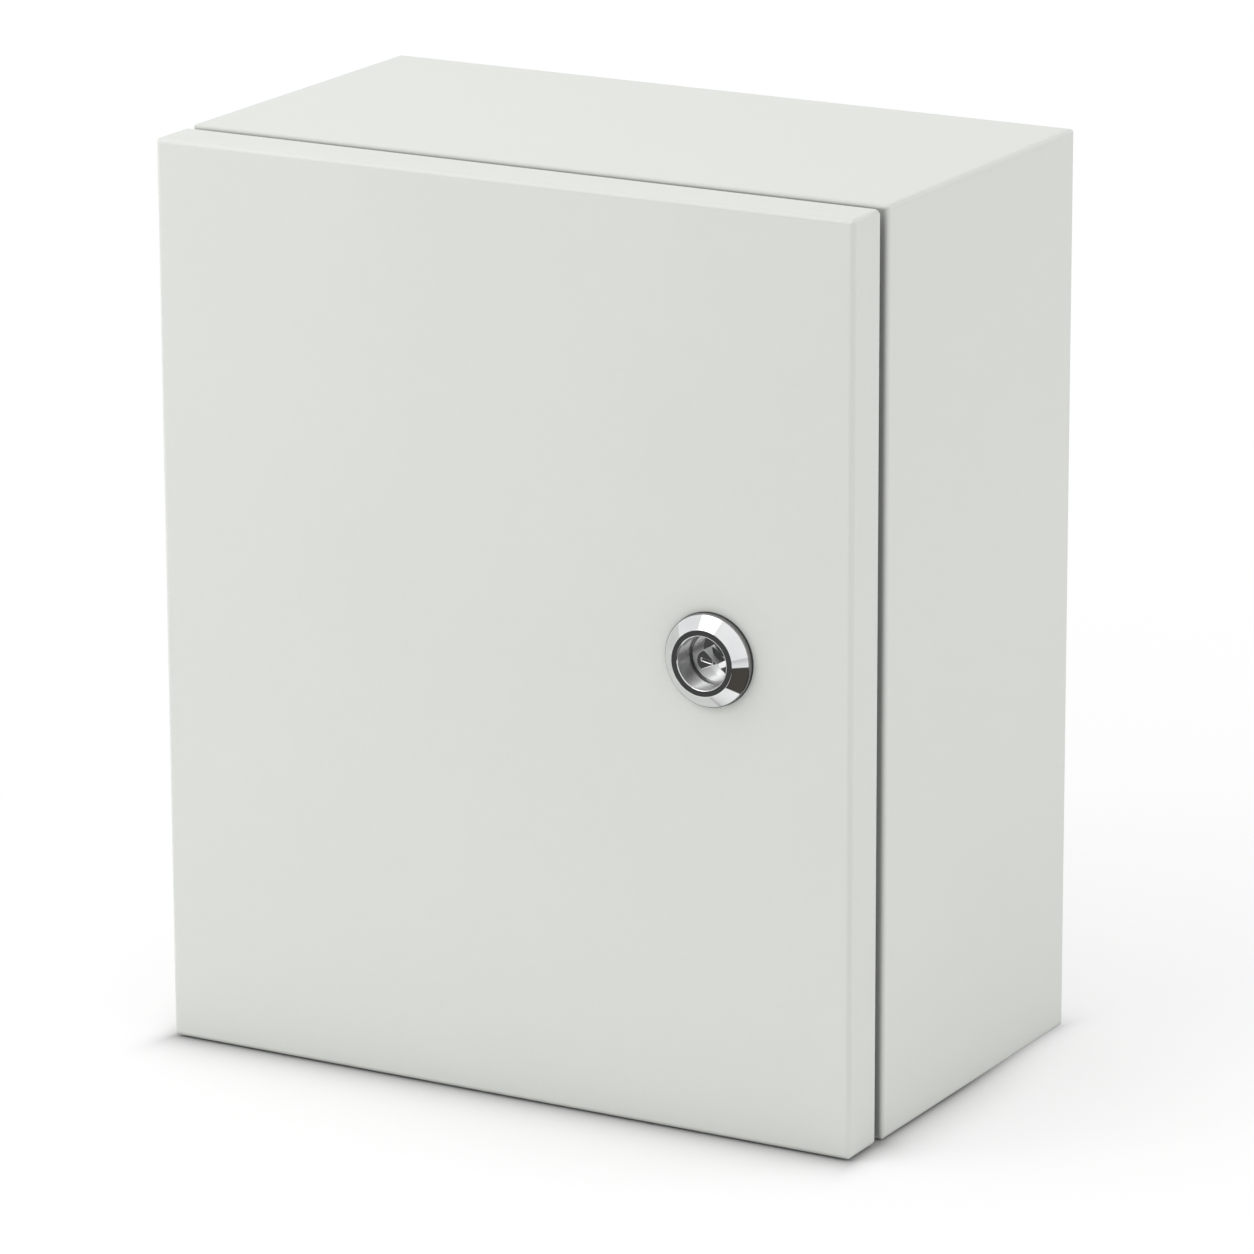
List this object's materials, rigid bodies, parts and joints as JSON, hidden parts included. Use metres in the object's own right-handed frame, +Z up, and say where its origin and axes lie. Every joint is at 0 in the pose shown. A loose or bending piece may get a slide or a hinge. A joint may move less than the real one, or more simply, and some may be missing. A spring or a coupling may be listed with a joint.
{
  "type": "steel wall enclosure",
  "caption": "Compact sheet-steel wall enclosure with a hinged door, quarter-turn triangular lock, mounting plate and gland plate.",
  "frame": {"origin": "middle of the four wall holes, in the plane of the rear face", "axes": "+Y out of the rear face into the wall, so the door faces -Y; +Z up; +X to the right seen from the front"},
  "size_m": [0.25, 0.1559, 0.3],
  "materials": {
    "powder_coat": "light grey textured powder coat, semi-matt",
    "zinc": "bright zinc plate on small hardware",
    "sheet_zinc": "galvanised sheet with a faint spangle",
    "die_cast": "die-cast zinc, satin",
    "chrome": "polished chrome plate",
    "foam": "foamed polyurethane seal"
  },
  "bodies": {
    "enclosure": {"body_shell": "powder_coat", "plate_studs": "zinc", "plate_spacers": "zinc", "mounting_plate": "sheet_zinc", "plate_washers": "zinc", "plate_nuts": "zinc", "gland_studs": "zinc", "gland_gasket": "foam", "gland_plate": "powder_coat", "gland_nuts": "zinc", "body_earth_stud": "zinc", "body_earth_washer": "zinc", "body_earth_nut": "zinc", "upper_hinge_arm": "die_cast", "lower_hinge_arm": "die_cast", "hinge_arm_screws": "zinc"},
    "door": {"door_panel": "powder_coat", "door_gasket": "foam", "door_earth_stud": "zinc", "door_earth_washer": "zinc", "door_earth_nut": "zinc", "hinge_leaf_studs": "zinc", "upper_hinge_leaf": "die_cast", "lower_hinge_leaf": "die_cast", "hinge_leaf_nuts": "zinc", "upper_hinge_pin": "chrome", "lower_hinge_pin": "chrome", "hinge_pin_clips": "zinc", "lock_bezel": "chrome", "lock_seal": "foam", "lock_nut": "zinc"},
    "lock_rotor": {"lock_insert": "chrome", "lock_cam": "zinc", "cam_washer": "zinc", "cam_screw": "zinc"}
  },
  "joints": [
    {"name": "door_hinge", "type": "hinge", "parent": "enclosure", "child": "door", "pos_m": [-0.1182, -0.14, 0], "axis": [0, 0, -1], "range_deg": [0, 120]},
    {"name": "lock_turn", "type": "hinge", "parent": "door", "child": "lock_rotor", "pos_m": [0.0755, -0.15, 0.006], "axis": [0, -1, 0], "range_deg": [0, 90]}
  ]
}
